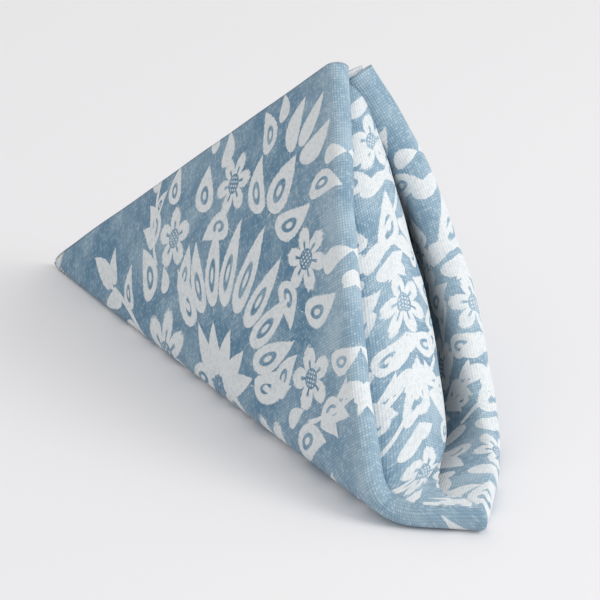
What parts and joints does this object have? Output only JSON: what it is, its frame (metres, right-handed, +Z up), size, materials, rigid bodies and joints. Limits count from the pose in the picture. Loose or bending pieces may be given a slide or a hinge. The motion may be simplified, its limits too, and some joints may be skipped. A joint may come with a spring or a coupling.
{
  "type": "folded cloth table napkin",
  "caption": "Square woven napkin folded in quarters and bent round its diagonal into a standing cornet with an open pocket.",
  "frame": {"origin": "on the table, midway along and across the folded napkin's outer box", "axes": "+Z up, +X along the keel from the closed tip to the open mouth, +Y from the near side to the swollen far side"},
  "size_m": [0.2764, 0.0842, 0.127],
  "materials": {
    "napkin": "matte"
  },
  "bodies": {
    "root": {"napkin": "napkin"}
  },
  "joints": []
}
